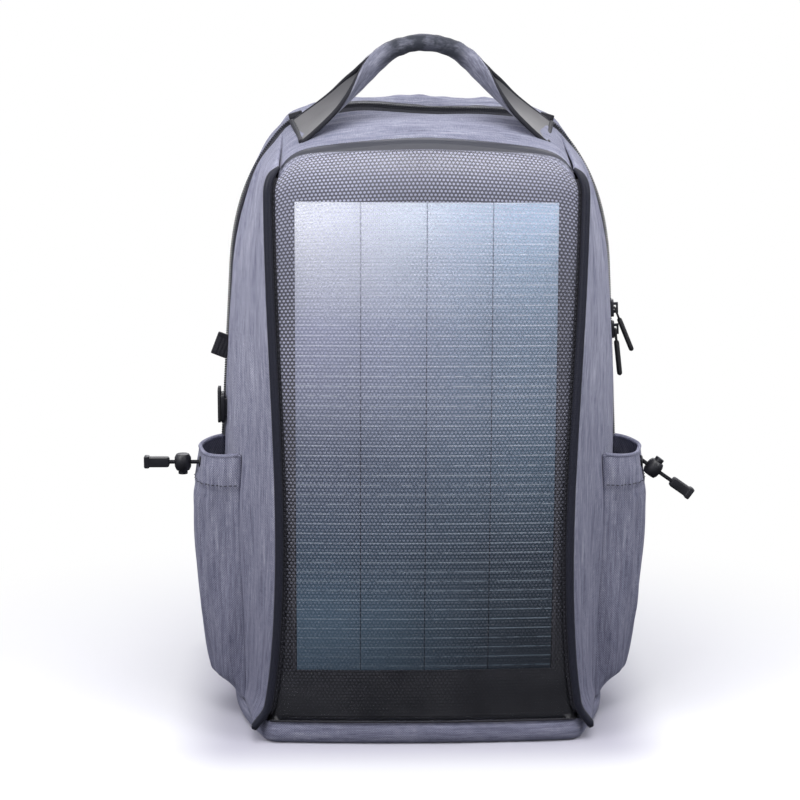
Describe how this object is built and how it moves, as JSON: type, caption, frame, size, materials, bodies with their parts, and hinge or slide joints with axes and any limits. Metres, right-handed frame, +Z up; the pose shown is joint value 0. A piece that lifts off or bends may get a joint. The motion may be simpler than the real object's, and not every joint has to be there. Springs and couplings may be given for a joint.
{
  "type": "solar backpack",
  "caption": "Soft grey backpack with a solar panel on its front face, a zipped back door with padded straps, side pockets with drawcords and a grab handle.",
  "frame": {"origin": "on the floor, under the middle of the bag's base", "axes": "+Z up, +X to the right of someone facing the solar panel, the solar panel faces -Y"},
  "size_m": [0.4035, 0.2097, 0.4985],
  "materials": {
    "heather_fabric": "heathered woven polyester",
    "black_binding": "smooth piping tape",
    "webbing": "ribbed webbing and braided cord",
    "zip_chain": "woven tape with coil teeth",
    "spacer_mesh": "spacer mesh",
    "lining": "thin woven lining",
    "foam_board": "lined foam board",
    "textured_film": "clear film with raised dots",
    "backsheet": "satin",
    "solar_cell": "dark blue green with fine fingers",
    "bus_ribbon": "tinned copper ribbon",
    "black_plastic": "moulded",
    "soft_rubber": "matt moulded",
    "cable_jacket": "smooth jacket"
  },
  "bodies": {
    "shell": {"base_panel": "heather_fabric", "rear_sill": "heather_fabric", "top_gusset": "heather_fabric", "left_gusset": "heather_fabric", "right_gusset": "heather_fabric", "left_piping": "black_binding", "right_piping": "black_binding", "front_zip_half": "zip_chain", "solar_film": "textured_film", "solar_cell_1": "solar_cell", "solar_cell_2": "solar_cell", "solar_cell_3": "solar_cell", "solar_cell_4": "solar_cell", "left_bus_ribbon": "bus_ribbon", "right_bus_ribbon": "bus_ribbon", "solar_backsheet": "backsheet", "front_panel": "foam_board", "junction_box": "black_plastic", "controller_pouch": "lining", "charge_controller": "black_plastic", "panel_cable": "cable_jacket", "usb_cable": "cable_jacket", "usb_port": "black_plastic", "left_shoulder_tab": "webbing", "right_shoulder_tab": "webbing", "left_zip_tab": "webbing", "left_pocket": "heather_fabric", "right_pocket": "heather_fabric", "left_handle_tab": "heather_fabric", "right_handle_tab": "heather_fabric"},
    "back_door": {"back_zip_half": "zip_chain", "door_gusset": "heather_fabric", "back_panel": "foam_board", "laptop_sleeve": "lining", "luggage_belt": "spacer_mesh", "left_back_pad": "spacer_mesh", "right_back_pad": "spacer_mesh", "lumbar_pad": "spacer_mesh", "left_wing_tab": "webbing", "right_wing_tab": "webbing"},
    "handle": {"grab_handle": "heather_fabric"},
    "slider_upper": {"upper_slider": "black_plastic"},
    "slider_lower": {"lower_slider": "black_plastic"},
    "pull_upper": {"upper_zip_pull": "soft_rubber"},
    "pull_lower": {"lower_zip_pull": "soft_rubber"},
    "port_cap": {"usb_port_cap": "soft_rubber"},
    "cord_left": {"left_cord": "webbing", "left_cord_end": "black_plastic"},
    "cord_right": {"right_cord": "webbing", "right_cord_end": "black_plastic"},
    "lock_left": {"left_cord_lock": "black_plastic"},
    "lock_right": {"right_cord_lock": "black_plastic"},
    "button_left": {"left_lock_button": "black_plastic"},
    "button_right": {"right_lock_button": "black_plastic"},
    "strap_left": {"left_shoulder_pad": "heather_fabric", "left_webbing": "webbing"},
    "strap_right": {"right_shoulder_pad": "heather_fabric", "right_webbing": "webbing"},
    "adjuster_left": {"left_ladder_lock": "black_plastic"},
    "adjuster_right": {"right_ladder_lock": "black_plastic"}
  },
  "joints": [
    {"name": "back_door_hinge", "type": "hinge", "parent": "shell", "child": "back_door", "pos_m": [0, 0.077, 0.0293], "axis": [-1, 0, 0], "range_deg": [0, 60]},
    {"name": "handle_hinge", "type": "hinge", "parent": "shell", "child": "handle", "pos_m": [0, 0.004, 0.448], "axis": [1, 0, 0], "range_deg": [-40, 40]},
    {"name": "upper_slider_slide", "type": "slide", "parent": "shell", "child": "slider_upper", "axis": [-0.0581, 0, 0.9983], "range_m": [0, 0.026]},
    {"name": "lower_slider_slide", "type": "slide", "parent": "shell", "child": "slider_lower", "axis": [-0.0581, 0, 0.9983], "range_m": [-0.095, 0]},
    {"name": "upper_pull_hinge", "type": "hinge", "parent": "slider_upper", "child": "pull_upper", "pos_m": [0.14478, 0.041, 0.29719], "axis": [0, -1, 0], "range_deg": [0, 120]},
    {"name": "lower_pull_hinge", "type": "hinge", "parent": "slider_lower", "child": "pull_lower", "pos_m": [0.14571, 0.041, 0.28119], "axis": [0, -1, 0], "range_deg": [-4, 10]},
    {"name": "port_cap_hinge", "type": "hinge", "parent": "shell", "child": "port_cap", "pos_m": [-0.1478, 0.022, 0.2405], "axis": [0, 1, 0], "range_deg": [0, 110]},
    {"name": "left_cord_swing", "type": "hinge", "parent": "shell", "child": "cord_left", "pos_m": [-0.1633, -0.0017, 0.1901], "axis": [0, -1, 0], "range_deg": [-35, 30]},
    {"name": "right_cord_swing", "type": "hinge", "parent": "shell", "child": "cord_right", "pos_m": [0.1633, -0.0017, 0.1901], "axis": [0, 1, 0], "range_deg": [-65, 0]},
    {"name": "left_lock_slide", "type": "slide", "parent": "cord_left", "child": "lock_left", "axis": [-1, 0, 0], "range_m": [-0.0035, 0.0025]},
    {"name": "right_lock_slide", "type": "slide", "parent": "cord_right", "child": "lock_right", "axis": [0.8191, 0, -0.5736], "range_m": [0, 0.0095]},
    {"name": "left_button_press", "type": "slide", "parent": "lock_left", "child": "button_left", "axis": [0, 0, 1], "range_m": [0, 0.002], "stiffness_N_per_m": 300},
    {"name": "right_button_press", "type": "slide", "parent": "lock_right", "child": "button_right", "axis": [-0.5736, 0, -0.8191], "range_m": [0, 0.002], "stiffness_N_per_m": 300},
    {"name": "left_strap_swing", "type": "hinge", "parent": "back_door", "child": "strap_left", "pos_m": [-0.04, 0.0854, 0.41], "axis": [-0.2371, -0.0085, -0.9714], "range_deg": [-8, 25]},
    {"name": "right_strap_swing", "type": "hinge", "parent": "back_door", "child": "strap_right", "pos_m": [0.04, 0.0854, 0.41], "axis": [0.2371, -0.0085, -0.9714], "range_deg": [-25, 8]},
    {"name": "left_adjuster_tilt", "type": "hinge", "parent": "strap_left", "child": "adjuster_left", "pos_m": [-0.114, 0.11, 0.1765], "axis": [1, 0, 0], "range_deg": [-5, 20]},
    {"name": "right_adjuster_tilt", "type": "hinge", "parent": "strap_right", "child": "adjuster_right", "pos_m": [0.114, 0.11, 0.1765], "axis": [1, 0, 0], "range_deg": [-5, 20]}
  ]
}
